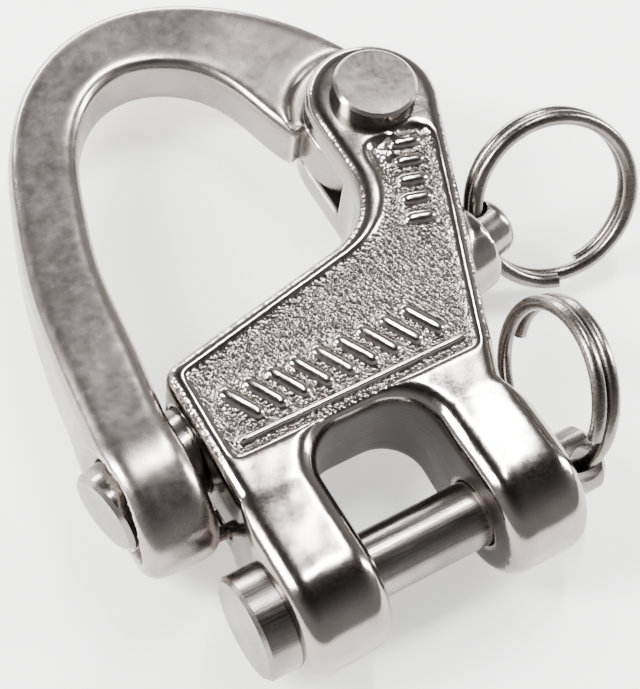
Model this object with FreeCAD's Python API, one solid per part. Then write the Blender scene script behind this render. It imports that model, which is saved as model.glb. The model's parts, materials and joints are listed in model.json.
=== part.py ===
"""Fork snap shackle, lying flat.

Frame: the origin is on the clevis pin's axis, in the middle of the jaw.  +X runs along the clevis pin
from its head to its split ring, +Y is the load direction from the clevis to the crown of the bow, and
+Z is square to the flat of the body, towards its front face.  All sizes are millimetres and degrees.
"""
import FreeCAD, Part
import math
import os

V = FreeCAD.Vector

# ---- Driving dimensions --------------------------------------------------------------------------
# Clevis jaw and its pin
pin_diameter = 6.0
pin_head_diameter = 9.5
pin_head_length = 2.9
pin_head_chamfer = 0.35
pin_tail = 4.1                  # pin beyond the outer face of the ear
pin_tail_chamfer = 0.7
jaw_gap = 11.4
jaw_depth = 11.0                # pin axis to the floor of the jaw
jaw_corner_radius = 4.0
ear_thickness = 8.3
ear_wall = 3.4                  # metal round the pin's bore
ear_shoulder = 8.0              # pin axis to the top of the swollen ear
ear_edge_radius = 1.9
ear_swell = 0.8                 # how far the left ear stands out from the body's side
waist_inset = 1.5               # how far the right flank starts in from the right ear's face
ear_slope_length = 3.5          # length over which the ear runs in to the body's side
flank_round = 8.0               # sweep from the right ear into the flank of the arm

# Plunger, its bore and its spring
plunger_angle = 12.0            # between the plunger's axis and the clevis pin
plunger_diameter = 7.8
stem_diameter = 5.6
plunger_proud = 2.2             # locking end beyond the spot face on the bow
plunger_seat = 5.2              # locking end inside the body when it is locked
plunger_travel = 9.6
chamber_end_wall = 4.4          # metal between the spring and the boss's face
boss_wall = 1.8                 # boss round the stem
boss_proud = 1.4                # boss beyond the flank of the arm
stem_tail = 4.1                 # stem beyond the boss
ring_hole_setback = 1.7         # boss's face to the cross hole's axis
bore_wall = 2.0                 # front and back walls over the plunger's bore
shoulder_wall = 1.3             # wall over the bore along the body's shoulder
jaw_floor_wall = 3.0            # wall between the bore and the jaw
lock_chamfer = 0.4
stem_round = 1.2
spring_wire = 0.8
spring_turns = 8
spring_end_gap = 0.1            # free space at each end of the spring

# Arm, fork and hinge rivet
rivet_x = 18.2
rivet_y = 39.0
rivet_diameter = 4.8
rivet_head_diameter = 8.0
rivet_head_height = 1.9
rivet_head_chamfer = 0.3
rivet_back_diameter = 7.0
rivet_back_height = 1.1
rivet_back_round = 0.6
cheek_wall = 4.0                # cheek metal round the rivet
knuckle_thickness = 5.2
neck_radius = 7.0               # sweep from the shoulder into the arm
body_edge_radius = 1.2

# Cast panel on each face of the body, with its raised marks
panel_depth = 0.45
panel_rim = 1.6
panel_floor_rim = 0.8           # rim between the panel and the jaw
panel_marks = 9
mark_height = 0.6
mark_width = 1.2
mark_length = 4.4
mark_slant = 30.0
arm_marks = 5
arm_mark_length = 3.0
arm_mark_pitch = 1.95
arm_mark_slant = -15.0
bead_width = 0.5
mark_root = 0.2                 # how far the marks are sunk into the panel's floor

# Bow and its eye
bow_thickness = 6.0
bow_edge_radius = 1.1
eye_edge_radius = 1.7
eye_thickness = 12.2
eye_reach = 8.2                 # plunger axis to the end of the eye
eye_length = 7.2
eye_gap = 1.2                   # between the eye and the side of the body
spot_face_depth = 1.3           # depth of the flat round the bore in the eye's end face
spot_face_margin = 1.4
bow_opening = 104.0
dowel_diameter = 1.3
dowel_drop = 6.0                # below the plunger's axis
dowel_depth = 3.0               # behind the plunger's axis
dowel_grip = 2.5                # length held in the eye
dowel_reach = 1.0               # length inside the body's notch
dowel_chamfer = 0.2

# Split rings
pull_ring_radius = 8.0          # to the middle of the wire
pull_ring_wire = 1.4
pull_ring_roll = 50.0           # cross hole's turn about the plunger's axis
pull_ring_swing = -21.5         # ring's swing about the cross hole
pull_ring_turns = 1.94
pull_ring_hole_turn = 0.2       # turns from the wire's first end to the cross hole
pull_ring_level_turn = 0.7      # turns from the first end to the level of the hole's middle
clevis_ring_radius = 7.4
clevis_ring_wire = 1.35
clevis_ring_roll = -60.0
clevis_ring_swing = -77.0
clevis_ring_tilt = 8.0          # wire's slant in its oversize cross hole
clevis_ring_turns = 1.5
clevis_ring_hole_turn = 0.64
clevis_ring_hole_setback = 2.1  # ear's face to the cross hole's axis

# Fits and clearances
running_fit = 0.08              # radial, plunger and pins in their bores
knuckle_clearance = 0.12        # each side of the knuckle in the fork
swing_clearance = 1.9           # radial, round the knuckle
mill_clearance = 0.45           # radial, cheeks of the fork to the shoulder milled on the bow
notch_clearance = 0.15          # round the dowel in the body's notch
notch_depth_clearance = 0.3     # beyond the dowel's tip
coil_clearance = 0.2            # radial, spring to stem
wire_clearance = 0.15           # radial, wire in a cross hole
coil_gap = 0.05                 # between neighbouring turns of a split ring

# ---- Sizes that follow from them -----------------------------------------------------------------
pin_radius = pin_diameter / 2
pin_bore_radius = pin_radius + running_fit
ear_radius = pin_bore_radius + ear_wall
ear_inner_x = jaw_gap / 2
ear_outer_x = ear_inner_x + ear_thickness
side_x = ear_outer_x - ear_swell
waist_x = ear_outer_x - waist_inset

plunger_radius = plunger_diameter / 2
stem_radius = stem_diameter / 2
bore_radius = plunger_radius + running_fit
stem_bore_radius = stem_radius + running_fit
half_thickness = bore_radius + bore_wall
tilt = math.radians(plunger_angle)
axis_dir = V(math.cos(tilt), math.sin(tilt), 0)
axis_normal = V(-math.sin(tilt), math.cos(tilt), 0)
axis_height = jaw_depth + ear_inner_x * math.tan(tilt) + (bore_radius + jaw_floor_wall) / math.cos(tilt)
axis_origin = V(0, axis_height, 0)

rivet_radius = rivet_diameter / 2
cheek_radius = rivet_radius + cheek_wall
slot_half = knuckle_thickness / 2 + knuckle_clearance
slot_radius = cheek_radius + swing_clearance
hinge = V(rivet_x, rivet_y, 0)


def on_axis(s, t=0.0, z=0.0):
    """Point at distance s along the plunger's axis and t across it."""
    return axis_origin + axis_dir * s + axis_normal * t + V(0, 0, z)


def axis_cylinder(radius, start, end):
    """Cylinder along the plunger's axis from start to end."""
    return Part.makeCylinder(radius, end - start, on_axis(start), axis_dir)


def corner_arc(before, corner, after, radius):
    """Tangent points and middle of the arc that rounds a corner."""
    u = (before - corner).normalize()
    w = (after - corner).normalize()
    half = math.acos(max(-1.0, min(1.0, u.dot(w)))) / 2
    setback = radius / math.tan(half)
    centre = corner + (u + w).normalize() * (radius / math.sin(half))
    middle = centre + (corner - centre).normalize() * radius
    return corner + u * setback, middle, corner + w * setback


def outline(corners):
    """Closed wire through (point, radius) corners, each rounded by its radius where that isn't 0."""
    count = len(corners)
    arcs = []
    for i, (point, radius) in enumerate(corners):
        if radius > 0:
            arcs.append(corner_arc(corners[i - 1][0], point, corners[(i + 1) % count][0], radius))
        else:
            arcs.append((point, None, point))
    edges = []
    for i, (first, middle, last) in enumerate(arcs):
        if middle is not None:
            edges.append(Part.Arc(first, middle, last).toShape())
        following = arcs[(i + 1) % count][0]
        if last.distanceToPoint(following) > 1e-6:
            edges.append(Part.makeLine(last, following))
    return Part.Wire(edges)


def plate(wire, low, high):
    """Solid between two heights, from a closed wire drawn at height 0."""
    face = Part.Face(wire)
    face.translate(V(0, 0, low))
    return face.extrude(V(0, 0, high - low))


def tangent_from(point, centre, radius, side):
    """Where a line from a point touches a circle, on its left (1) or right (-1) side."""
    offset = point - centre
    angle = math.atan2(offset.y, offset.x) + side * math.acos(radius / offset.Length)
    return centre + V(math.cos(angle), math.sin(angle), 0) * radius


# ---- Body ----------------------------------------------------------------------------------------
shoulder_offset = bore_radius + shoulder_wall


def shoulder_y(x):
    """Height of the body's shoulder, which runs alongside the plunger's bore."""
    return axis_height + x * math.tan(tilt) + shoulder_offset / math.cos(tilt)


waist = V(waist_x, ear_shoulder - 0.5, 0)
flank_touch = tangent_from(waist, hinge, cheek_radius, 1)
flank_dir = (flank_touch - waist).normalize()
arm_left_x = rivet_x - cheek_radius


def flank_station():
    """Distance along the plunger's axis at which it meets the arm's right flank."""
    gap = waist - axis_origin
    cross = axis_dir.x * flank_dir.y - axis_dir.y * flank_dir.x
    return (gap.x * flank_dir.y - gap.y * flank_dir.x) / cross


boss_face = flank_station() + boss_proud
chamber_end = boss_face - chamber_end_wall
side_station = -side_x / math.cos(tilt)
plunger_shoulder = side_station + plunger_seat
eye_right_x = -side_x - eye_gap
eye_left_x = eye_right_x - eye_length
eye_centre_x = eye_right_x - eye_length / 2
eye_centre = V(eye_centre_x, axis_height + eye_centre_x * math.tan(tilt), 0)
spot_face = (eye_left_x + spot_face_depth) / math.cos(tilt)
plunger_end = spot_face - plunger_proud
stem_end = boss_face + stem_tail
ring_hole_station = boss_face + ring_hole_setback


def arm_and_head():
    """Flat web of the body: the block over the jaw, the arm and its round head."""
    stub = ear_shoulder - 4.0
    head_top = rivet_y + cheek_radius
    left_top = V(-side_x, shoulder_y(-side_x), 0)
    neck = V(arm_left_x, shoulder_y(arm_left_x), 0)
    block = outline([
        (V(-side_x, stub, 0), 0),
        (V(-ear_inner_x, stub, 0), 0),
        (V(-ear_inner_x, jaw_depth, 0), jaw_corner_radius),
        (V(ear_inner_x, jaw_depth, 0), jaw_corner_radius),
        (V(ear_inner_x, stub, 0), 0),
        (V(waist_x, stub, 0), 0),
        (waist, flank_round),
        (waist + flank_dir * ((head_top - waist.y) / flank_dir.y), cheek_radius),
        (V(arm_left_x, head_top, 0), cheek_radius),
        (neck, neck_radius),
        (left_top, body_edge_radius + 0.4),
    ])
    web = plate(block, -half_thickness, half_thickness)
    rims = [e for e in web.Edges if abs(e.CenterOfMass.z) > half_thickness - 0.01
            and e.CenterOfMass.y > stub + 0.01]
    jaw = [e for e in rims if abs(e.CenterOfMass.x) < ear_inner_x + 0.01
           and e.CenterOfMass.y < jaw_depth + 0.01]
    outer = [e for e in rims if not any(e.isSame(other) for other in jaw)]
    return web.makeFillet(ear_edge_radius, jaw).makeFillet(body_edge_radius, outer)


def ear(side):
    """One lug of the jaw, round about the clevis pin, on the +X (1) or -X (-1) side."""
    corner = V(ear_shoulder, half_thickness, 0)
    touch = tangent_from(corner, V(0, 0, 0), ear_radius, 1)
    x_low = ear_inner_x if side > 0 else -ear_outer_x
    spots = [V(x_low, touch.x, touch.y), V(x_low, -ear_radius, 0), V(x_low, touch.x, -touch.y)]
    low, high = V(x_low, corner.x, -corner.y), V(x_low, corner.x, corner.y)
    wire = Part.Wire([Part.Arc(*spots).toShape(), Part.makeLine(spots[2], low),
                      Part.makeLine(low, high), Part.makeLine(high, spots[0])])
    lug = Part.Face(wire).extrude(V(ear_thickness, 0, 0))
    rims = [e for e in lug.Edges if abs(e.Vertexes[0].X - e.Vertexes[-1].X) < 1e-6
            and e.CenterOfMass.y < ear_shoulder - 0.01]
    lug = lug.makeFillet(ear_edge_radius, rims)
    top, low = ear_shoulder, ear_shoulder - ear_slope_length
    inner_x = waist_x if side > 0 else side_x
    outside_x = ear_outer_x + 5
    slope = [(ear_outer_x, low), (outside_x, low), (outside_x, top + 1), (inner_x, top + 1), (inner_x, top),
             (ear_outer_x, low)]
    slope = Part.Wire(Part.makePolygon([V(side * x, y, 0) for x, y in slope]))
    return lug.cut(plate(slope, -2 * half_thickness, 2 * half_thickness))


def panel_outline():
    """Wire of the cast panel, set in from the body's edges by its rim."""
    inset_top = panel_rim / math.cos(tilt)
    floor_y = jaw_depth + panel_floor_rim
    left_x = -side_x + panel_rim
    right_shift = panel_rim / flank_dir.y
    slope = flank_dir.x / flank_dir.y
    top_y = rivet_y - rivet_head_diameter / 2 - 0.6

    def flank_x(y):
        """Panel's edge along the right flank."""
        return waist.x + (y - waist.y) * slope - right_shift

    arm_x = arm_left_x + panel_rim + 0.8
    return outline([
        (V(left_x, floor_y, 0), 0.6),
        (V(flank_x(floor_y), floor_y, 0), 0.6),
        (V(flank_x(top_y), top_y, 0), 1.5),
        (V(arm_x, top_y, 0), 1.5),
        (V(arm_x, shoulder_y(arm_x) - inset_top, 0), neck_radius + panel_rim - 1.0),
        (V(left_x, shoulder_y(left_x) - inset_top, 0), 0.6),
    ])


def panel_marks_solid():
    """Raised marks on the front panel: a bead over the jaw and a rope-lay row of slanted bars."""
    root_z = half_thickness - panel_depth - mark_root
    height = mark_height + mark_root
    bead_y = jaw_depth + panel_floor_rim + 0.9
    low_x, high_x = -side_x + 2.6, side_x - 1.2
    marks = [Part.makeBox(high_x - low_x, bead_width, height, V(low_x, bead_y, root_z))]
    row_y = bead_y + 0.9 + mark_length * math.cos(math.radians(mark_slant)) / 2 + mark_width / 2
    pitch = (high_x - low_x - 4.5) / (panel_marks - 1)
    for i in range(panel_marks):
        centre = V(low_x + 2.0 + i * pitch, row_y, root_z)
        marks.append(rounded_bar(centre, mark_length, mark_width, height, 90 + mark_slant))
    for i in range(arm_marks):
        y = axis_height + 6.0 + i * arm_mark_pitch
        x = waist.x + (y - waist.y) * flank_dir.x / flank_dir.y - panel_rim - arm_mark_length
        marks.append(rounded_bar(V(x, y, root_z), arm_mark_length, mark_width, height, arm_mark_slant))
    return marks


def rounded_bar(centre, length, width, height, angle):
    """Low bar with round ends, lying at an angle to X."""
    half = (length - width) / 2
    a, b = V(-half, -width / 2, 0), V(half, -width / 2, 0)
    c, d = V(half, width / 2, 0), V(-half, width / 2, 0)
    wire = Part.Wire([Part.makeLine(a, b), Part.Arc(b, V(half + width / 2, 0, 0), c).toShape(),
                      Part.makeLine(c, d), Part.Arc(d, V(-half - width / 2, 0, 0), a).toShape()])
    bar = Part.Face(wire).extrude(V(0, 0, height))
    bar.rotate(V(0, 0, 0), V(0, 0, 1), angle)
    bar.translate(centre)
    return bar


def make_body():
    """Body casting: web, ears and boss, bored for the pins and slotted for the knuckle."""
    solid = arm_and_head().fuse([ear(-1), ear(1), axis_cylinder(stem_bore_radius + boss_wall, 0, boss_face)])
    panel = panel_outline()
    front = plate(panel, half_thickness - panel_depth, half_thickness + 1)
    back = plate(panel, -half_thickness - 1, -half_thickness + panel_depth)
    solid = solid.cut([front, back]).fuse(panel_marks_solid())
    slot = Part.makeCylinder(slot_radius, 2 * slot_half, hinge - V(0, 0, slot_half))
    rivet_hole = Part.makeCylinder(rivet_radius, 2 * half_thickness + 2, hinge - V(0, 0, half_thickness + 1))
    jaw_bore = Part.makeCylinder(pin_bore_radius, 2 * ear_outer_x + 2, V(-ear_outer_x - 1, 0, 0), V(1, 0, 0))
    chamber = axis_cylinder(bore_radius, side_station - 3, chamber_end)
    stem_bore = axis_cylinder(stem_bore_radius, chamber_end - 1, boss_face + 1)
    return solid.cut([slot, rivet_hole, jaw_bore, chamber, stem_bore, dowel_notch()]).removeSplitter()


def dowel_line():
    """Start and direction of the locating dowel's axis, parallel to the clevis pin."""
    return V(eye_right_x - dowel_grip, eye_centre.y - dowel_drop, -dowel_depth), V(1, 0, 0)


def dowel_notch():
    """Notch in the body's side that the dowel drops into; it is open upwards for the swing."""
    start, _ = dowel_line()
    half = dowel_diameter / 2 + notch_clearance
    depth = dowel_reach + notch_depth_clearance
    corner = V(-side_x - 1, start.y - half, start.z - half)
    return Part.makeBox(depth + 1, 2 * half + 1.3 * depth, 2 * half, corner)


# ---- Bow -----------------------------------------------------------------------------------------
# Middle of the bar at each station as (along, out) shares of the distance from the rivet to the eye,
# with the bar's width there in millimetres.
bow_stations = [
    (-0.006, 0.098, 12.2),
    (-0.020, 0.208, 11.4),
    (-0.023, 0.326, 9.6),
    (0.011, 0.452, 8.1),
    (0.106, 0.572, 7.2),
    (0.245, 0.620, 6.5),
    (0.398, 0.590, 6.4),
    (0.544, 0.500, 6.6),
    (0.679, 0.387, 6.8),
    (0.799, 0.257, 7.2),
    (0.908, 0.124, 7.2),
]


def bow_centres():
    """Middle points of the bar from the rivet to just above the eye."""
    chord = eye_centre - hinge
    along = V(chord).normalize()
    out = V(along.y, -along.x, 0)
    return [hinge + along * (u * chord.Length) + out * (w * chord.Length) for u, w, _ in bow_stations]


def bar_section(centre, direction, width, thickness, radius):
    """Rounded rectangle square to a direction in the XY plane."""
    across = V(direction.y, -direction.x, 0).normalize()
    up = V(0, 0, 1)

    def spot(a, b):
        """Point a across and b up from the middle."""
        return centre + across * a + up * b

    w, h, c = width / 2, thickness / 2, radius * (1 - math.sqrt(0.5))
    edges = []
    signs = [(1, 1), (-1, 1), (-1, -1), (1, -1)]
    for i, (sx, sy) in enumerate(signs):
        arc = [spot(sx * w, sy * (h - radius)), spot(sx * (w - c), sy * (h - c)),
               spot(sx * (w - radius), sy * h)]
        if i % 2:
            arc.reverse()
        edges.append(Part.Arc(*arc).toShape())
        nx, ny = signs[(i + 1) % 4]
        if i % 2:
            following = spot(nx * w, ny * (h - radius))
        else:
            following = spot(nx * (w - radius), ny * h)
        edges.append(Part.makeLine(arc[2], following))
    return Part.Wire(edges)


def make_bow():
    """Bow: a lofted bar from the knuckle round to the eye, milled flat where it enters the fork."""
    centres = bow_centres() + [eye_centre]
    widths = [w for _, _, w in bow_stations] + [eye_length]
    last = len(centres) - 1
    wires = []
    for i, (centre, width) in enumerate(zip(centres, widths)):
        direction = centres[min(i + 1, last)] - centres[max(i - 1, 0)]
        swell = max(0.0, (i - 6) / (last - 6))
        thickness = bow_thickness + (eye_thickness - bow_thickness) * swell ** 1.2
        radius = bow_edge_radius + (eye_edge_radius - bow_edge_radius) * swell
        if i == last:
            direction = V(0, -1, 0)
        wires.append(bar_section(centre, direction, width, thickness, radius))
    bar = Part.makeLoft(wires, True, False)
    oval = Part.Ellipse(V(0, 0, 0), eye_reach, eye_thickness / 2)
    eye = Part.Face(Part.Wire([oval.toShape()]))
    eye.rotate(V(0, 0, 0), V(0, 0, 1), 90)
    eye.rotate(V(0, 0, 0), V(0, 1, 0), 90)
    eye.translate(V(eye_left_x, eye_centre.y, 0))
    eye = eye.extrude(V(eye_length, 0, 0))
    eye = eye.makeFillet(eye_edge_radius, eye.Edges)
    knuckle = Part.makeCylinder(cheek_radius, knuckle_thickness, hinge - V(0, 0, knuckle_thickness / 2))
    solid = bar.fuse([eye, knuckle])
    mill_radius = slot_radius - mill_clearance
    deep = 2 * half_thickness
    mill = [Part.makeCylinder(mill_radius, deep, hinge + V(0, 0, z)) for z in
            (knuckle_thickness / 2, -knuckle_thickness / 2 - deep)]
    hole = Part.makeCylinder(rivet_radius + running_fit, 2 * deep, hinge - V(0, 0, deep))
    plunger_hole = axis_cylinder(bore_radius, plunger_end - 5, side_station + 3)
    spot = axis_cylinder(plunger_radius + spot_face_margin, plunger_end - 5, spot_face)
    start, direction = dowel_line()
    dowel_hole = Part.makeCylinder(dowel_diameter / 2, dowel_grip + 2, start, direction)
    return solid.cut(mill + [hole, plunger_hole, spot, dowel_hole])


def make_dowel():
    """Locating dowel fixed in the eye, which drops into the body's notch."""
    start, direction = dowel_line()
    dowel = Part.makeCylinder(dowel_diameter / 2, dowel_grip + eye_gap + dowel_reach, start, direction)
    tip = [e for e in dowel.Edges if e.Closed and e.CenterOfMass.x > start.x + dowel_grip]
    return dowel.makeChamfer(dowel_chamfer, tip)


# ---- Pins, plunger and spring --------------------------------------------------------------------
def end_rims(shape, direction, position):
    """Closed round edges of a shape at a position along a direction."""
    return [e for e in shape.Edges if e.Closed and abs(e.CenterOfMass.dot(direction) - position) < 1e-4]


def make_rivet():
    """Hinge rivet with a flat turned head in front and a closed head behind."""
    base = V(rivet_x, rivet_y, 0)
    shank = Part.makeCylinder(rivet_radius, 2 * half_thickness, base - V(0, 0, half_thickness))
    head = Part.makeCylinder(rivet_head_diameter / 2, rivet_head_height, base + V(0, 0, half_thickness))
    front = half_thickness + rivet_head_height
    head = head.makeChamfer(rivet_head_chamfer, end_rims(head, V(0, 0, 1), front))
    low = -half_thickness - rivet_back_height
    back = Part.makeCylinder(rivet_back_diameter / 2, rivet_back_height, base + V(0, 0, low))
    back = back.makeFillet(rivet_back_round, end_rims(back, V(0, 0, 1), low))
    return shank.fuse([head, back])


def cross_axes(direction, roll, swing):
    """Hole direction, direction to the ring's middle and ring axis, for a ring in a cross hole."""
    side = V(0, 0, 1).cross(direction).normalize()
    a, b = math.radians(roll), math.radians(swing)
    hole = side * math.cos(a) + V(0, 0, 1) * math.sin(a)
    across = hole.cross(direction)
    outward = direction * math.cos(b) + across * math.sin(b)
    return hole, outward, outward.cross(hole)


pull_hole_radius = pull_ring_wire + coil_gap / 2 + wire_clearance
clevis_wire_drift = (pin_radius * math.tan(math.radians(clevis_ring_tilt))
                     + pin_radius ** 2 / (4 * clevis_ring_radius))
clevis_hole_radius = clevis_ring_wire / 2 + clevis_wire_drift + wire_clearance
clevis_hole_x = ear_outer_x + clevis_ring_hole_setback
pull_hole_dir, pull_outward, pull_normal = cross_axes(axis_dir, pull_ring_roll, pull_ring_swing)
clevis_hole_dir, clevis_outward, clevis_normal = cross_axes(V(1, 0, 0), clevis_ring_roll, clevis_ring_swing)
pull_hole_centre = on_axis(ring_hole_station)
clevis_hole_centre = V(clevis_hole_x, 0, 0)


def cross_hole(centre, direction, radius):
    """Drill through a pin, centred on its axis."""
    reach = pin_diameter + plunger_diameter
    return Part.makeCylinder(radius, 2 * reach, centre - direction * reach, direction)


def make_plunger():
    """Spring plunger: a thick locking end and a thinner stem with a cross hole for the pull ring."""
    lock = axis_cylinder(plunger_radius, plunger_end, plunger_shoulder)
    lock = lock.makeChamfer(lock_chamfer, end_rims(lock, axis_dir, on_axis(plunger_end).dot(axis_dir)))
    stem = axis_cylinder(stem_radius, plunger_shoulder, stem_end)
    stem = stem.makeFillet(stem_round, end_rims(stem, axis_dir, on_axis(stem_end).dot(axis_dir)))
    return lock.fuse(stem).cut(cross_hole(pull_hole_centre, pull_hole_dir, pull_hole_radius))


def make_clevis_pin():
    """Clevis pin with a turned head, and a cross hole for its split ring."""
    axis = V(1, 0, 0)
    tail_end = ear_outer_x + pin_tail
    head_end = -ear_outer_x - pin_head_length
    head = Part.makeCylinder(pin_head_diameter / 2, pin_head_length, V(head_end, 0, 0), axis)
    head = head.makeChamfer(pin_head_chamfer, end_rims(head, axis, head_end))
    shank = Part.makeCylinder(pin_radius, tail_end + ear_outer_x, V(-ear_outer_x, 0, 0), axis)
    shank = shank.makeChamfer(pin_tail_chamfer, end_rims(shank, axis, tail_end))
    return head.fuse(shank).cut(cross_hole(clevis_hole_centre, clevis_hole_dir, clevis_hole_radius))


def coil(radius, wire, pitch, turns):
    """Round wire wound along Z from height 0, starting on the X axis."""
    steps = int(12 * turns)
    points = []
    for i in range(steps + 1):
        share = turns * i / steps
        angle = 2 * math.pi * share
        points.append(V(radius * math.cos(angle), radius * math.sin(angle), pitch * share))
    curve = Part.BSplineCurve()
    curve.interpolate(points)
    section = Part.Wire([Part.Circle(points[0], curve.tangent(0)[0], wire / 2).toShape()])
    return Part.Wire(curve.toShape()).makePipeShell([section], True, True)


def make_spring():
    """Compression spring round the stem, between the plunger's shoulder and the chamber's end."""
    radius = stem_radius + coil_clearance + spring_wire / 2
    span = chamber_end - plunger_shoulder - spring_wire - 2 * spring_end_gap
    spring = coil(radius, spring_wire, span / spring_turns, spring_turns)
    spring.Placement = FreeCAD.Placement(on_axis(plunger_shoulder + spring_end_gap + spring_wire / 2),
                                         FreeCAD.Rotation(V(0, 0, 1), axis_dir))
    return spring


def split_ring(centre, outward, hole_dir, radius, wire, turns, hole_turn, level_turn, left_hand=False):
    """Split ring passing a cross hole hole_turn turns from its first end, centred where level_turn is."""
    pitch = wire + coil_gap
    ring = coil(radius, wire, pitch, turns)
    ring.translate(V(0, 0, -pitch * level_turn))
    ring.rotate(V(0, 0, 0), V(0, 0, 1), -360 * hole_turn)
    if left_hand:
        ring = ring.mirror(V(0, 0, 0), V(0, 0, 1))
    frame = FreeCAD.Matrix()
    towards_hole = outward * -1
    normal = towards_hole.cross(hole_dir)
    for row, values in enumerate(zip(towards_hole, hole_dir, normal)):
        for column, value in enumerate(values):
            setattr(frame, "A%d%d" % (row + 1, column + 1), value)
    ring = ring.transformShape(frame)
    ring.translate(centre)
    return ring


def make_pull_ring():
    """Split ring of two turns, both of which pass through the plunger's cross hole."""
    sag = stem_radius ** 2 / (2 * pull_ring_radius) / 2
    centre = pull_hole_centre + pull_outward * (pull_ring_radius - sag)
    return split_ring(centre, pull_outward, pull_hole_dir, pull_ring_radius, pull_ring_wire,
                      pull_ring_turns, pull_ring_hole_turn, pull_ring_level_turn)


def make_clevis_ring():
    """Cotter ring of one and a half turns, with one strand through the clevis pin."""
    sag = pin_radius ** 2 / (2 * clevis_ring_radius) / 2
    centre = clevis_hole_centre + clevis_outward * (clevis_ring_radius - sag)
    slant = math.radians(clevis_ring_tilt)
    wire_dir = clevis_hole_dir * math.cos(slant) + clevis_normal * math.sin(slant)
    return split_ring(centre, clevis_outward, wire_dir, clevis_ring_radius, clevis_ring_wire,
                      clevis_ring_turns, clevis_ring_hole_turn, clevis_ring_hole_turn, True)


# ---- Output --------------------------------------------------------------------------------------
parts = {
    "body_casting": make_body,
    "bow": make_bow,
    "locating_dowel": make_dowel,
    "hinge_rivet": make_rivet,
    "plunger": make_plunger,
    "plunger_spring": make_spring,
    "pull_ring": make_pull_ring,
    "clevis_pin": make_clevis_pin,
    "clevis_ring": make_clevis_ring,
}

os.makedirs("parts", exist_ok=True)
for name, build in parts.items():
    shape = build()
    if len(shape.Solids) == 1:
        shape = shape.Solids[0]
    shape.exportStep("parts/%s.step" % name)
    box = shape.BoundBox
    print("%-16s solids %d valid %s volume %.1f box %.1f..%.1f %.1f..%.1f %.1f..%.1f" % (
        name, len(shape.Solids), shape.isValid(), shape.Volume,
        box.XMin, box.XMax, box.YMin, box.YMax, box.ZMin, box.ZMax))
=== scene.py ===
"""Looks of a fork snap shackle: cast body and bow, turned pins, sprung plunger and split rings."""

from __future__ import annotations

import json
import logging
import math
from dataclasses import dataclass, field
from enum import Enum

import bmesh
import bpy
from mathutils import Matrix, Vector, noise

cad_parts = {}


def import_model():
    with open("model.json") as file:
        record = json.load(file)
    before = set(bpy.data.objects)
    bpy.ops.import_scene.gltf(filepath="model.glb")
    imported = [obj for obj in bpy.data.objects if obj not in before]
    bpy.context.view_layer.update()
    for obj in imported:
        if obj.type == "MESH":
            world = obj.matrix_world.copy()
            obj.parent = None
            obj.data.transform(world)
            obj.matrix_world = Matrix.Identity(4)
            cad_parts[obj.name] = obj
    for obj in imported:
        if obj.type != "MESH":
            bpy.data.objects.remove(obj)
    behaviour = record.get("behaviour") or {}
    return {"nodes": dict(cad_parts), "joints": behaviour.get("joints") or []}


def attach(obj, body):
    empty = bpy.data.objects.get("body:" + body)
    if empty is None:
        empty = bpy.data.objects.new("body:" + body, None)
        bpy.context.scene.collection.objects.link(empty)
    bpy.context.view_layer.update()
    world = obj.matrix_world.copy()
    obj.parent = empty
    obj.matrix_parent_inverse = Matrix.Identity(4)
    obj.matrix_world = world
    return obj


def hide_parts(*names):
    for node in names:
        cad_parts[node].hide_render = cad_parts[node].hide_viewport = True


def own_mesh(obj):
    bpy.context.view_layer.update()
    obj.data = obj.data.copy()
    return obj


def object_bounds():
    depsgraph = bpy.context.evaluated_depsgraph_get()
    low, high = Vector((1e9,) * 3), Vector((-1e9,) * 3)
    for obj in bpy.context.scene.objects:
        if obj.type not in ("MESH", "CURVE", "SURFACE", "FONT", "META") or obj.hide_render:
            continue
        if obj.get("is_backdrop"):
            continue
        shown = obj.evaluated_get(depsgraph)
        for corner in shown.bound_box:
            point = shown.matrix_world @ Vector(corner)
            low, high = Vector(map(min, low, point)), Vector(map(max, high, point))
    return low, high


MM = 0.001
MERGE_DISTANCE = 1e-7
log = logging.getLogger("snap_shackle")


class Part(str, Enum):
    """The shackle's named parts, as the frame calls them."""

    BODY = "body_casting"
    BOW = "bow"
    DOWEL = "locating_dowel"
    RIVET = "hinge_rivet"
    PLUNGER = "plunger"
    SPRING = "plunger_spring"
    PULL_RING = "pull_ring"
    CLEVIS_PIN = "clevis_pin"
    CLEVIS_RING = "clevis_ring"


class Lay(Enum):
    """Direction that the marks of working run in on a piece."""

    NONE = "none"
    ALONG_X = "along_x"
    ROUND_X = "round_x"


def linear(colour: str) -> tuple[float, float, float, float]:
    """Turn an sRGB hex colour into linear light.

    Args:
        colour: Six hex digits after a hash.

    Returns:
        Red, green, blue and an alpha of one.
    """
    parts = [int(colour[i:i + 2], 16) / 255 for i in (1, 3, 5)]
    lit = [c / 12.92 if c <= 0.04045 else ((c + 0.055) / 1.055) ** 2.4 for c in parts]
    return (lit[0], lit[1], lit[2], 1.0)


def ramp(value: float, low: float, high: float) -> float:
    """Rise smoothly from 0 at low to 1 at high.

    Args:
        value: Where to read the rise.
        low: Start of the rise.
        high: End of the rise.

    Returns:
        A share from 0 to 1.
    """
    share = min(max((value - low) / (high - low), 0.0), 1.0)
    return share * share * (3 - 2 * share)


def welded(node: bpy.types.Object) -> bmesh.types.BMesh:
    """Copy a node's loose triangles with their shared points joined.

    Args:
        node: CAD node's object.

    Returns:
        The joined copy, which the caller frees.
    """
    work = bmesh.new()
    work.from_mesh(node.data)
    bmesh.ops.remove_doubles(work, verts=work.verts, dist=MERGE_DISTANCE)
    return work


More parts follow.
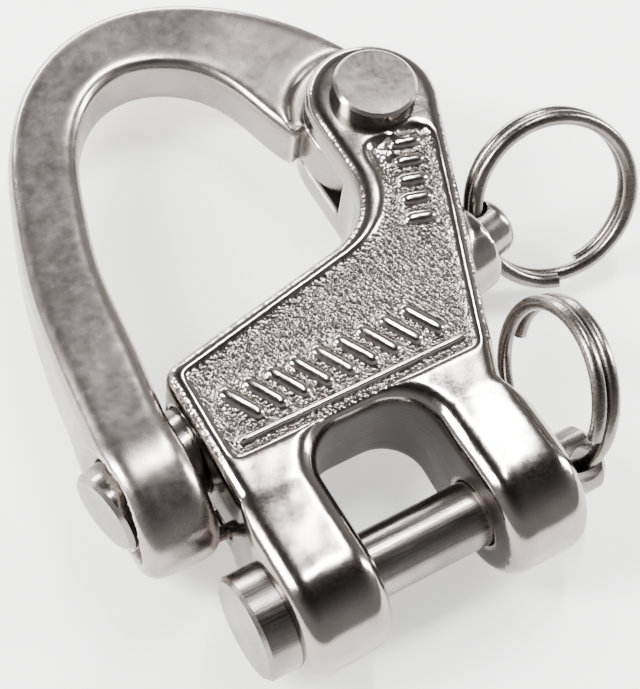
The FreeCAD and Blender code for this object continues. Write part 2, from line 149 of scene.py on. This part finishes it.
def into_scene(name: str, mesh: bpy.types.Mesh) -> bpy.types.Object:
    """Put a mesh into the scene as an object at the origin.

    Args:
        name: Object's name.
        mesh: Its mesh.

    Returns:
        The new object.
    """
    made = bpy.data.objects.new(name, mesh)
    bpy.context.scene.collection.objects.link(made)
    return made


def add_node(tree: bpy.types.NodeTree, kind: str, settings: dict | None = None,
             inputs: dict | None = None) -> bpy.types.Node:
    """Add a node with its settings and links.

    Args:
        tree: Node tree that takes the node.
        kind: Blender's name of the node type.
        settings: Attribute values.
        inputs: Socket name or number to a value, or to the output that feeds it.

    Returns:
        The new node.
    """
    node = tree.nodes.new(kind)
    for name, value in (settings or {}).items():
        setattr(node, name, value)
    for key, value in (inputs or {}).items():
        if isinstance(value, bpy.types.NodeSocket):
            tree.links.new(value, node.inputs[key])
        else:
            node.inputs[key].default_value = value
    return node


@dataclass(frozen=True)
class SteelFinish:
    """Stainless steel, 316 grade: a warm grey metal whose look comes from how it was worked.

    Attributes:
        name: Material name.
        colour: Clean metal, sRGB.
        stain: Metal in the worked hollows, sRGB.
        roughness: Roughness of the clean metal.
        roughness_spread: How far the roughness wanders.
        mottle_mm: Size of the wandering patches.
        mark_mm: Spacing of the marks of working, coarser than the real scratches so that they show.
        mark_depth_mm: Depth of those marks.
        lay: Direction of the marks.
        stretch: How many times longer than wide a mark is.
        wave_mm: Spacing of the hand polishing's waves.
        wave_depth_mm: Depth of those waves.
        tone_span: Noise values between which clean metal turns to stained.
        mark_span: Noise values between which the marks turn from smooth to rough.
    """

    name: str
    colour: str = "#C4BDB9"
    stain: str = "#9B9592"
    roughness: float = 0.24
    roughness_spread: float = 0.10
    mottle_mm: float = 5.0
    mark_mm: float = 0.22
    mark_depth_mm: float = 0.004
    lay: Lay = Lay.NONE
    stretch: float = 14.0
    wave_mm: float = 3.2
    wave_depth_mm: float = 0.02
    tone_span: tuple[float, float] = (0.3, 0.72)
    mark_span: tuple[float, float] = (0.3, 0.7)

    def per_metre(self, size_mm: float) -> float:
        """Texture scale that repeats every size_mm."""
        return 1.0 / (size_mm * MM)

    def marks(self, tree: bpy.types.NodeTree, place: bpy.types.NodeSocket) -> bpy.types.NodeSocket:
        """Height of the marks of working, from 0 to 1.

        Args:
            tree: Node tree.
            place: Object coordinates.

        Returns:
            The height's socket.
        """
        if self.lay is Lay.NONE:
            scale = (1.0, 1.0, 1.0)
        elif self.lay is Lay.ALONG_X:
            scale = (1.0 / self.stretch, 1.0, 1.0)
        else:
            scale = (1.0, 1.0 / self.stretch, 1.0 / self.stretch)
        mapping = add_node(tree, "ShaderNodeMapping", None, {"Vector": place, "Scale": scale})
        grain = add_node(tree, "ShaderNodeTexNoise", None, {
            "Vector": mapping.outputs["Vector"], "Scale": self.per_metre(self.mark_mm),
            "Detail": 4.0, "Roughness": 0.6})
        return grain.outputs["Fac"]

    def build(self) -> bpy.types.Material:
        """Make the material.

        Returns:
            The finished material.
        """
        material = bpy.data.materials.new(self.name)
        material.use_nodes = True
        tree = material.node_tree
        shader = tree.nodes["Principled BSDF"]
        place = add_node(tree, "ShaderNodeTexCoord").outputs["Object"]
        mottle = add_node(tree, "ShaderNodeTexNoise", None, {
            "Vector": place, "Scale": self.per_metre(self.mottle_mm), "Detail": 3.0, "Roughness": 0.5})
        marks = self.marks(tree, place)
        tone = add_node(tree, "ShaderNodeMapRange", None, {
            "Value": mottle.outputs["Fac"], "From Min": self.tone_span[0], "From Max": self.tone_span[1]})
        colour = add_node(tree, "ShaderNodeMix", {"data_type": "RGBA"}, {
            "Factor": tone.outputs["Result"], 6: linear(self.colour), 7: linear(self.stain)})
        gloss = add_node(tree, "ShaderNodeMapRange", None, {
            "Value": marks, "From Min": self.mark_span[0], "From Max": self.mark_span[1],
            "To Min": self.roughness - self.roughness_spread / 2,
            "To Max": self.roughness + self.roughness_spread / 2})
        patch = add_node(tree, "ShaderNodeMath", {"operation": "MULTIPLY_ADD"}, {
            0: tone.outputs["Result"], 1: self.roughness_spread, 2: gloss.outputs["Result"]})
        wave = add_node(tree, "ShaderNodeTexNoise", None, {
            "Vector": place, "Scale": self.per_metre(self.wave_mm), "Detail": 2.0, "Roughness": 0.4})
        soft = add_node(tree, "ShaderNodeBump", None, {
            "Height": wave.outputs["Fac"], "Distance": self.wave_depth_mm * MM, "Strength": 1.0})
        fine = add_node(tree, "ShaderNodeBump", None, {
            "Height": marks, "Distance": self.mark_depth_mm * MM, "Strength": 1.0,
            "Normal": soft.outputs["Normal"]})
        self.finish(tree, shader, place, colour.outputs[2], patch.outputs["Value"], fine.outputs["Normal"])
        return material

    def finish(self, tree: bpy.types.NodeTree, shader: bpy.types.Node, place: bpy.types.NodeSocket,
               colour: bpy.types.NodeSocket, rough: bpy.types.NodeSocket,
               normal: bpy.types.NodeSocket) -> None:
        """Wire the worked metal straight to the shader.

        Args:
            tree: Node tree.
            shader: Principled shader.
            place: Object coordinates.
            colour: Colour of the worked metal.
            rough: Roughness of the worked metal.
            normal: Bumped normal of the worked metal.
        """
        shader.inputs["Metallic"].default_value = 1.0
        tree.links.new(colour, shader.inputs["Base Color"])
        tree.links.new(rough, shader.inputs["Roughness"])
        tree.links.new(normal, shader.inputs["Normal"])


@dataclass(frozen=True)
class SandCastFinish(SteelFinish):
    """Cast stainless whose rims are polished and whose panels and hollows keep the mould's sand grain.

    Four attributes of the skin say where it is panel, hollow, crest or recess; the hollows and recesses get
    painted shade and the crests a painted highlight.

    Attributes:
        grain_mm: Size of the mould's grains.
        grain_depth_mm: Depth of the grains, deeper than the real ones so that they show.
        grit_mm: Size of the finer grit on the grains.
        grit_share: Share of that grit in the height.
        speck_span: Heights between which a grain turns from bright top to dark pit.
        panel_colour: Tops of the grains, sRGB.
        panel_stain: Pits between the grains, sRGB.
        panel_roughness: Roughness of the grains.
        hollow_shade_colour: Painted shade over the unpolished metal inside the jaw and the slot, sRGB.
        hollow_roughness: Its roughness.
        tool_mm: Spacing of the grinding marks in the hollows, coarser than the real ones.
        tool_depth_mm: Depth of those marks.
        tool_sweep: Scale of the marks along each axis; they run level round the jaw.
        recess_shade_colour: Painted shade in the corners, sRGB.
        crest_highlight_colour: Painted highlight on the edges, sRGB.
    """

    grain_mm: float = 0.40
    grain_depth_mm: float = 0.16
    grit_mm: float = 0.24
    grit_share: float = 0.35
    speck_span: tuple[float, float] = (0.75, 0.25)
    panel_colour: str = "#BBB5B1"
    panel_stain: str = "#635D5A"
    panel_roughness: float = 0.24
    # Painted shade darkens the unpolished hollows of the jaw and the slot
    hollow_shade_colour: str = "#262423"
    hollow_roughness: float = 0.5
    tool_mm: float = 0.30
    tool_depth_mm: float = 0.035
    tool_sweep: tuple[float, float, float] = (0.06, 0.06, 1.0)
    # Painted shade for the concave corners
    recess_shade_colour: str = "#3B3735"
    # Painted highlight for the convex edges
    crest_highlight_colour: str = "#BFB8B4"

    def finish(self, tree: bpy.types.NodeTree, shader: bpy.types.Node, place: bpy.types.NodeSocket,
               colour: bpy.types.NodeSocket, rough: bpy.types.NodeSocket,
               normal: bpy.types.NodeSocket) -> None:
        """Lay the sand grain over the panels, roughen the hollows, paint shade into the hollows and recesses
        and paint highlights on the crests.

        Args:
            tree: Node tree.
            shader: Principled shader.
            place: Object coordinates.
            colour: Colour of the polished metal.
            rough: Roughness of the polished metal.
            normal: Bumped normal of the polished metal.
        """
        panel, hollow, crest, recess = (
            add_node(tree, "ShaderNodeAttribute", {"attribute_name": name}).outputs["Fac"]
            for name in ("panel", "hollow", "crest", "recess"))
        grain = add_node(tree, "ShaderNodeTexVoronoi", None, {
            "Vector": place, "Scale": self.per_metre(self.grain_mm), "Randomness": 1.0})
        grit = add_node(tree, "ShaderNodeTexNoise", None, {
            "Vector": place, "Scale": self.per_metre(self.grit_mm), "Detail": 2.0})
        sand = add_node(tree, "ShaderNodeMath", {"operation": "MULTIPLY_ADD"}, {
            0: grit.outputs["Fac"], 1: self.grit_share, 2: grain.outputs["Distance"]})
        sand_bump = add_node(tree, "ShaderNodeBump", None, {
            "Height": sand.outputs["Value"], "Distance": self.grain_depth_mm * MM,
            "Strength": panel, "Normal": normal})
        sweep = add_node(tree, "ShaderNodeMapping", None, {"Vector": place, "Scale": self.tool_sweep})
        tool = add_node(tree, "ShaderNodeTexNoise", None, {
            "Vector": sweep.outputs["Vector"], "Scale": self.per_metre(self.tool_mm),
            "Detail": 3.0, "Roughness": 0.6})
        tool_bump = add_node(tree, "ShaderNodeBump", None, {
            "Height": tool.outputs["Fac"], "Distance": self.tool_depth_mm * MM,
            "Strength": hollow, "Normal": sand_bump.outputs["Normal"]})
        speck = add_node(tree, "ShaderNodeMapRange", None, {
            "Value": sand.outputs["Value"], "From Min": self.speck_span[0], "From Max": self.speck_span[1]})
        skin = add_node(tree, "ShaderNodeMix", {"data_type": "RGBA"}, {
            "Factor": speck.outputs["Result"], 6: linear(self.panel_stain), 7: linear(self.panel_colour)})
        tone = colour
        # Painted shade in the hollows and recesses and a painted highlight on the crests are mixed into the
        # metal's colour
        for share, shade in ((panel, skin.outputs[2]), (hollow, linear(self.hollow_shade_colour)),
                             (recess, linear(self.recess_shade_colour)), (crest, linear(self.crest_highlight_colour))):
            tone = add_node(tree, "ShaderNodeMix", {"data_type": "RGBA"}, {
                "Factor": share, 6: tone, 7: shade}).outputs[2]
        for share, level in ((panel, self.panel_roughness), (hollow, self.hollow_roughness),
                             (recess, self.hollow_roughness)):
            rough = add_node(tree, "ShaderNodeMix", {"data_type": "FLOAT"}, {
                "Factor": share, 2: rough, 3: level}).outputs[0]
        super().finish(tree, shader, place, tone, rough, tool_bump.outputs["Normal"])


# Investment-cast 316, buffed on its rims: nearly a mirror, with a slow waviness from the wheel
CAST_BODY = SandCastFinish("cast stainless, buffed rims", colour="#9A938F", stain="#857E7A", roughness=0.12,
                           roughness_spread=0.06, wave_mm=6.5, wave_depth_mm=0.24, mark_mm=0.3,
                           mark_depth_mm=0.002)
# The bow's broad faces are linished, then lightly buffed: a soft satin with faint cloudy patches
# The bow's crest colour is a painted highlight on its edges
SATIN_BOW = SandCastFinish("linished stainless bow", colour="#9B9490", stain="#8A837F", roughness=0.22,
                           roughness_spread=0.07, mottle_mm=6.0, wave_mm=6.0, wave_depth_mm=0.06,
                           mark_mm=1.2, mark_depth_mm=0.0012, crest_highlight_colour="#C4BDB9")
# Cold-drawn bar keeps long straight drawing lines along the pin
DRAWN_PIN = SteelFinish("drawn stainless pin", colour="#8F8985", stain="#686360", roughness=0.20,
                        lay=Lay.ALONG_X, mark_mm=0.16, mark_depth_mm=0.008, stretch=34.0,
                        wave_depth_mm=0.0)
# Turned on a lathe and polished: fine rings round the axis
TURNED_PLUNGER = SteelFinish("turned stainless plunger", colour="#97918D", stain="#746F6B", roughness=0.17,
                             lay=Lay.ROUND_X, mark_mm=0.14, mark_depth_mm=0.003, stretch=20.0,
                             wave_depth_mm=0.02)
# The rivet's head is faced flat and polished
FACED_RIVET = SteelFinish("faced stainless rivet", colour="#A29B97", stain="#8A8480", roughness=0.15,
                          roughness_spread=0.05, mottle_mm=5.0, mark_mm=0.5, mark_depth_mm=0.0006,
                          wave_mm=6.0, wave_depth_mm=0.06)
# Spring-hard wire, coiled and tumbled: satin with small dents
TUMBLED_WIRE = SteelFinish("tumbled stainless wire", colour="#847E7A", stain="#5C5855", roughness=0.20,
                           mottle_mm=2.5, mark_mm=0.25, mark_depth_mm=0.004, wave_mm=1.6, wave_depth_mm=0.04)
# Patented spring wire, unpolished
SPRING_WIRE = SteelFinish("stainless spring wire", colour="#8F8A87", stain="#6E6A68", roughness=0.33)


@dataclass
class CastPiece:
    """A cast piece whose surface is remade from its CAD node with soft edges and the mould's grain.

    Attributes:
        part: Node that the piece stands for.
        body: Body that it rides on.
        slot: Material slot of the record; not used.
        finish: Its finish.
        voxel_mm: Spacing of the new surface's points.
        soften: Rounds of smoothing.
        crest_bend: Bends between which an edge counts as a crest for the painted highlight.
        recess_bend: Bends between which a corner counts as a recess for the painted shade.
        crest_highlight_share: Share of painted highlight on a crest.
        recess_shade_share: Share of painted shade in a recess.
    """

    part: Part
    body: str
    slot: str
    finish: SteelFinish
    voxel_mm: float = 0.22
    soften: int = 4
    crest_bend: tuple[float, float] = (0.35, 0.9)
    recess_bend: tuple[float, float] = (0.3, 1.0)
    crest_highlight_share: float = 0.8
    recess_shade_share: float = 0.8

    def skin(self, node: bpy.types.Object) -> bpy.types.Mesh:
        """Remake the node's mesh as one even skin.

        Args:
            node: CAD node's object.

        Returns:
            The new mesh.
        """
        work = welded(node)
        mesh = bpy.data.meshes.new(self.part.value + "_merged")
        work.to_mesh(mesh)
        work.free()
        carrier = into_scene(self.part.value + "_carrier", mesh)
        remesh = carrier.modifiers.new("skin", "REMESH")
        remesh.mode = "VOXEL"
        remesh.voxel_size = self.voxel_mm * MM
        remesh.adaptivity = 0.0
        graph = bpy.context.evaluated_depsgraph_get()
        made = bpy.data.meshes.new_from_object(carrier.evaluated_get(graph))
        bpy.data.objects.remove(carrier)
        return made

    def shape(self, work: bmesh.types.BMesh) -> None:
        """Work the skin after it is softened; a plain piece needs nothing."""

    def masks(self, vertex: bmesh.types.BMVert) -> tuple[float, float]:
        """Shares of sand-grained panel and of hollow, darkened with painted shade, at a point."""
        return (0.0, 0.0)

    def bend(self, vertex: bmesh.types.BMVert) -> float:
        """How sharply the skin bends outwards at a point: one over the radius in millimetres.

        Args:
            vertex: Point of the skin.

        Returns:
            Bend, above zero on a crest and below zero in a recess.
        """
        total = 0.0
        for edge in vertex.link_edges:
            other = edge.other_vert(vertex)
            step = other.co - vertex.co
            total += (other.normal - vertex.normal).dot(step) / max(step.length_squared, 1e-12)
        return total * MM / max(len(vertex.link_edges), 1)

    def build(self, node: bpy.types.Object) -> bpy.types.Object:
        """Make the piece, dress it and put it on its body.

        Args:
            node: CAD node's object.

        Returns:
            The finished piece.
        """
        mesh = self.skin(node)
        work = bmesh.new()
        work.from_mesh(mesh)
        for _ in range(self.soften):
            bmesh.ops.smooth_vert(work, verts=work.verts, factor=0.5,
                                  use_axis_x=True, use_axis_y=True, use_axis_z=True)
        work.normal_update()
        self.shape(work)
        layers = [work.verts.layers.float.new(name) for name in ("panel", "hollow", "crest", "recess")]
        work.normal_update()
        bends = {vertex: self.bend(vertex) for vertex in work.verts}
        for vertex in work.verts:
            around = [bends[edge.other_vert(vertex)] for edge in vertex.link_edges]
            bend = (bends[vertex] + sum(around)) / (1 + len(around))
            panel, hollow = self.masks(vertex)
            clean = 1.0 - panel
            # The crest share paints a highlight on convex edges and the recess share paints shade in concave
            # corners
            shares = (panel, hollow, clean * self.crest_highlight_share * ramp(bend, *self.crest_bend),
                      clean * self.recess_shade_share * ramp(-bend, *self.recess_bend))
            for layer, share in zip(layers, shares):
                vertex[layer] = share
        for face in work.faces:
            face.smooth = True
        work.to_mesh(mesh)
        work.free()
        piece = into_scene(self.part.value + "_skin", mesh)
        mesh.materials.clear()
        mesh.materials.append(self.finish.build())
        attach(piece, self.body)
        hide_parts(self.part.value)
        log.info("%s: %d faces", piece.name, len(mesh.polygons))
        return piece


@dataclass
class BodyCasting(CastPiece):
    """Body: jaw, panelled web, arm and fork cheeks.

    Attributes:
        half_thickness: Half of the web's thickness, mm.
        face_margin: Depth below the web's face that still counts as the web's front or back, mm.
        panel_depth: Depths between which the skin turns from rim to panel, mm.
        panel_level: How level the skin is where it turns into panel.
        jaw_half: Half of the jaw's width, mm.
        jaw_floor: Height of the jaw's floor over the pin's axis, mm.
        floor_rim: Distances over the jaw's floor between which the panel starts, mm.
        wall_slope: How far a jaw wall has to lean towards the pin to count as a floor.
        wall_upright: How far from upright a jaw wall may lean.
        rivet: Rivet's axis, in metres.
        slot_half: Half of the fork's slot and a margin, mm.
        slot_radius: Radius of the slot round the rivet, mm.
        neck_fade: Heights between which the sand grain runs out into the neck, mm.
        neck_slant: How much the end of the grain climbs per millimetre across the arm.
        neck_loss: Share of the grain that the neck loses.
        grain_mm: Size of the mould's grain in the surface.
        grain_height: Height of that grain, mm.
        jaw_share: Share of unpolished metal, darkened with painted shade, on the jaw's inner walls.
    """

    part: Part = Part.BODY
    body: str = "body"
    slot: str = "cast_body"
    finish: SteelFinish = CAST_BODY
    voxel_mm: float = 0.25
    half_thickness: float = 5.98
    face_margin: float = 0.78
    panel_depth: tuple[float, float] = (0.10, 0.32)
    panel_level: tuple[float, float] = (0.55, 0.8)
    jaw_half: float = 5.9
    jaw_floor: float = 11.3
    floor_rim: tuple[float, float] = (0.2, 0.8)
    wall_slope: float = 0.3
    wall_upright: float = 0.4
    rivet: Vector = field(default_factory=Vector)
    slot_half: float = 2.85
    slot_radius: float = 8.5
    neck_fade: tuple[float, float] = (30.57, 34.07)
    neck_slant: float = 0.35
    neck_loss: float = 0.8
    grain_mm: float = 0.48
    grain_height: float = 0.022
    jaw_share: float = 0.8

    def masks(self, vertex: bmesh.types.BMVert) -> tuple[float, float]:
        """Shares of panel and hollow, from where the point lies.

        Args:
            vertex: Point of the skin.

        Returns:
            Share of panel and share of hollow.
        """
        x, y, z = vertex.co / MM
        depth = self.half_thickness - abs(z)
        rise = y - self.jaw_floor
        across = self.rivet.x / MM - x
        panel = ramp(depth, *self.panel_depth) * ramp(abs(vertex.normal.z), *self.panel_level)
        panel *= ramp(rise, *self.floor_rim) if depth < self.face_margin else 0.0
        panel *= 1.0 - self.neck_loss * ramp(y + self.neck_slant * across, *self.neck_fade)
        faces_in = vertex.normal.x * x < 0 or vertex.normal.y < -self.wall_slope
        upright = abs(vertex.normal.z) < self.wall_upright
        in_jaw = abs(x) < self.jaw_half and rise < 0 and upright and faces_in
        reach = (vertex.co - self.rivet).xy.length / MM
        in_slot = reach < self.slot_radius and abs(z) < self.slot_half
        # The slot and the jaw's inner walls take rougher metal and painted shade
        return (panel, 1.0 if in_slot else self.jaw_share if in_jaw else 0.0)

    def shape(self, work: bmesh.types.BMesh) -> None:
        """Raise the mould's grain in the panels.

        Args:
            work: Softened skin.
        """
        for vertex in work.verts:
            share = self.masks(vertex)[0]
            if share > 0.01:
                height = noise.noise(vertex.co / (self.grain_mm * MM)) * self.grain_height * MM
                vertex.co += vertex.normal * height * share


@dataclass
class Bow(CastPiece):
    """Bow: the hinged loop, with its knuckle in the fork and its eye round the plunger.

    Attributes:
        swell_mm: Width of the swells that hand linishing leaves.
        swell_height: Height of those swells, mm.
    """

    part: Part = Part.BOW
    body: str = "bow"
    slot: str = "cast_bow"
    finish: SteelFinish = SATIN_BOW
    soften: int = 14
    crest_bend: tuple[float, float] = (0.5, 1.0)
    recess_bend: tuple[float, float] = (0.5, 1.2)
    swell_mm: float = 7.0
    swell_height: float = 0.07

    def shape(self, work: bmesh.types.BMesh) -> None:
        """Give the faces the slow swell of hand linishing.

        Args:
            work: Softened skin.
        """
        for vertex in work.verts:
            height = noise.noise(vertex.co / (self.swell_mm * MM)) * self.swell_height * MM
            vertex.co += vertex.normal * height


@dataclass
class TurnedPiece:
    """A turned or coiled piece that keeps its CAD shape and gets its finish.

    Attributes:
        part: Node that is dressed.
        finish: Its finish.
    """

    part: Part
    finish: SteelFinish

    def build(self, node: bpy.types.Object) -> bpy.types.Object:
        """Dress the node.

        Args:
            node: CAD node's object.

        Returns:
            The same object.
        """
        material = self.finish.build()
        node.data.materials.clear()
        node.data.materials.append(material)
        log.info("%s: dressed in %s", node.name, material.name)
        return node


@dataclass
class PlungerSpring:
    """The plunger's spring, which rides on the plunger; the real spring shortens against the chamber's end.

    Attributes:
        pull: The frame's joint that shortens it; not used.
        part: Node that the spring stands for.
        body: Body that it rides on.
        slot: Material slot of the record; not used.
        finish: Its finish.
    """

    pull: dict
    part: Part = Part.SPRING
    body: str = "plunger"
    slot: str = "spring"
    finish: SteelFinish = SPRING_WIRE

    def build(self, node: bpy.types.Object) -> bpy.types.Object:
        """Copy the wound wire, dress it and put it on the plunger.

        Args:
            node: CAD node's object.

        Returns:
            The finished spring.
        """
        work = welded(node)
        for face in work.faces:
            face.smooth = True
        mesh = bpy.data.meshes.new(self.part.value + "_wire")
        work.to_mesh(mesh)
        work.free()
        mesh.materials.append(self.finish.build())
        spring = into_scene(self.part.value + "_wire", mesh)
        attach(spring, self.body)
        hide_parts(self.part.value)
        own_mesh(spring)
        return spring


@dataclass(frozen=True)
class SoftBox:
    """One soft studio light.

    Attributes:
        name: Light's name.
        place: Where it stands, mm.
        size: Width and height, mm.
        power: Power in watts.
        colour: Light's colour, sRGB.
    """

    name: str
    place: tuple[float, float, float]
    size: tuple[float, float]
    power: float
    colour: str = "#FFFFFF"

    def build(self, aim: Vector) -> None:
        """Hang the light and turn it to the shackle.

        Args:
            aim: Point that it faces, in metres.
        """
        lamp = bpy.data.lights.new(self.name, "AREA")
        lamp.shape = "RECTANGLE"
        lamp.size, lamp.size_y = self.size[0] * MM, self.size[1] * MM
        lamp.energy = self.power
        lamp.color = linear(self.colour)[:3]
        holder = bpy.data.objects.new(self.name, lamp)
        holder.location = Vector(self.place) * MM
        holder.rotation_mode = "QUATERNION"
        holder.rotation_quaternion = (aim - holder.location).to_track_quat("-Z", "Y")
        bpy.context.scene.collection.objects.link(holder)


@dataclass(frozen=True)
class Studio:
    """Pale floor, soft light and the camera.

    Attributes:
        floor_mm: Width of the floor.
        floor_colour: Floor paint, sRGB.
        floor_glow: Light that the floor, a diffusing table lit from below, gives off.
        floor_roughness: Roughness of the floor.
        wall: Colour of the room's white walls, sRGB.
        ceiling: Colour of the room's dark ceiling, sRGB.
        wall_top: Sines of the elevations between which the walls turn into the ceiling.
        ambient_strength: Strength of the room's light.
        lights: Soft boxes.
    """

    floor_mm: float = 3000.0
    floor_colour: str = "#F4F3F1"
    floor_glow: float = 1.0
    floor_roughness: float = 0.9
    wall: str = "#FFFFFF"
    ceiling: str = "#4A4847"
    wall_top: tuple[float, float] = (0.30, 0.95)
    ambient_strength: float = 0.55
    lights: tuple[SoftBox, ...] = (
        SoftBox("key_left", (-330.0, 160.0, 300.0), (120.0, 260.0), 7.0),
        SoftBox("strip_over", (120.0, 140.0, 365.0), (36.0, 150.0), 1.8),
        SoftBox("rim_back", (60.0, 460.0, 120.0), (420.0, 80.0), 4.0),
        SoftBox("fill_right", (380.0, -40.0, 200.0), (80.0, 260.0), 4.0),
    )

    def floor(self, level: float) -> None:
        """Lay the floor.

        Args:
            level: Height of the floor, in metres.
        """
        work = bmesh.new()
        bmesh.ops.create_grid(work, x_segments=1, y_segments=1, size=self.floor_mm * MM / 2)
        bmesh.ops.translate(work, verts=work.verts, vec=(0.0, 0.0, level))
        mesh = bpy.data.meshes.new("floor")
        work.to_mesh(mesh)
        work.free()
        plane = bpy.data.objects.new("floor", mesh)
        bpy.context.scene.collection.objects.link(plane)
        paint = bpy.data.materials.new("matt white floor")
        paint.use_nodes = True
        shader = paint.node_tree.nodes["Principled BSDF"]
        shader.inputs["Base Color"].default_value = linear(self.floor_colour)
        shader.inputs["Roughness"].default_value = self.floor_roughness
        shader.inputs["Emission Color"].default_value = linear(self.floor_colour)
        shader.inputs["Emission Strength"].default_value = self.floor_glow
        mesh.materials.append(paint)
        plane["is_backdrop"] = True

    def room(self) -> None:
        """Fill the room with soft light from white walls under a dark ceiling."""
        world = bpy.data.worlds.new("studio")
        world.use_nodes = True
        tree = world.node_tree
        background = tree.nodes["Background"]
        toward = add_node(tree, "ShaderNodeTexCoord").outputs["Generated"]
        height = add_node(tree, "ShaderNodeSeparateXYZ", None, {"Vector": toward}).outputs["Z"]
        climb = add_node(tree, "ShaderNodeMapRange", {"interpolation_type": "SMOOTHSTEP"}, {
            "Value": height, "From Min": self.wall_top[0], "From Max": self.wall_top[1]})
        tone = add_node(tree, "ShaderNodeMix", {"data_type": "RGBA"}, {
            "Factor": climb.outputs["Result"], 6: linear(self.wall), 7: linear(self.ceiling)})
        tree.links.new(tone.outputs[2], background.inputs["Color"])
        background.inputs["Strength"].default_value = self.ambient_strength
        bpy.context.scene.world = world

    def build(self, low: Vector, high: Vector) -> None:
        """Set up the whole studio round the shackle.

        Args:
            low: Lowest corner of the shackle, in metres.
            high: Highest corner of the shackle, in metres.
        """
        self.floor(low.z)
        self.room()
        for light in self.lights:
            light.build((low + high) / 2)


@dataclass(frozen=True)
class StudioCamera:
    """Camera over the shackle's clevis end, looking down along the bow.

    Attributes:
        azimuth: Bearing of the camera round the shackle, degrees.
        elevation: Height of the camera over the floor's plane, degrees.
        roll: Turn about the line of sight, degrees.
        distance: From the frame's origin plane to the camera, mm.
        shift_right: Sideways place of the line of sight, mm.
        shift_up: Upward place of the line of sight, mm.
        lens: Focal length for a 36 mm long side.
    """

    azimuth: float = -39.72
    elevation: float = 59.95
    roll: float = 11.02
    distance: float = 149.8
    shift_right: float = -8.29
    shift_up: float = 16.82
    lens: float = 91.88

    def build(self) -> None:
        """Place the camera and make it the scene's."""
        a, e, r = (math.radians(v) for v in (self.azimuth, self.elevation, self.roll))
        back = Vector((math.sin(a) * math.cos(e), -math.cos(a) * math.cos(e), math.sin(e)))
        level = Vector((math.cos(a), math.sin(a), 0.0))
        upright = back.cross(level)
        right = level * math.cos(r) + upright * math.sin(r)
        up = back.cross(right)
        spot = (right * self.shift_right + up * self.shift_up + back * self.distance) * MM
        lens = bpy.data.cameras.new("camera")
        lens.lens = self.lens
        lens.sensor_width = 36.0
        lens.clip_start, lens.clip_end = 0.005, 20.0
        camera = bpy.data.objects.new("camera", lens)
        camera.matrix_world = Matrix((
            (right.x, up.x, back.x, spot.x), (right.y, up.y, back.y, spot.y),
            (right.z, up.z, back.z, spot.z), (0.0, 0.0, 0.0, 1.0)))
        bpy.context.scene.collection.objects.link(camera)
        bpy.context.scene.camera = camera


def main() -> None:
    """Build the shackle's looks, the camera and the studio round the shackle's box."""
    logging.basicConfig(level=logging.INFO, format="%(name)s: %(message)s")
    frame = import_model()
    cad_low, cad_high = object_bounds()
    nodes = frame["nodes"]
    joints = {joint["name"]: joint for joint in frame["joints"]}
    StudioCamera().build()
    pieces = (
        BodyCasting(rivet=Vector(joints["bow_swing"]["pos_m"])),
        Bow(),
        TurnedPiece(Part.DOWEL, DRAWN_PIN),
        TurnedPiece(Part.RIVET, FACED_RIVET),
        TurnedPiece(Part.PLUNGER, TURNED_PLUNGER),
        PlungerSpring(joints["plunger_pull"]),
        TurnedPiece(Part.PULL_RING, TUMBLED_WIRE),
        TurnedPiece(Part.CLEVIS_PIN, DRAWN_PIN),
        TurnedPiece(Part.CLEVIS_RING, TUMBLED_WIRE),
    )
    for piece in pieces:
        piece.build(nodes[piece.part.value])
    Studio().build(cad_low, cad_high)


if __name__ == "__main__":
    main()
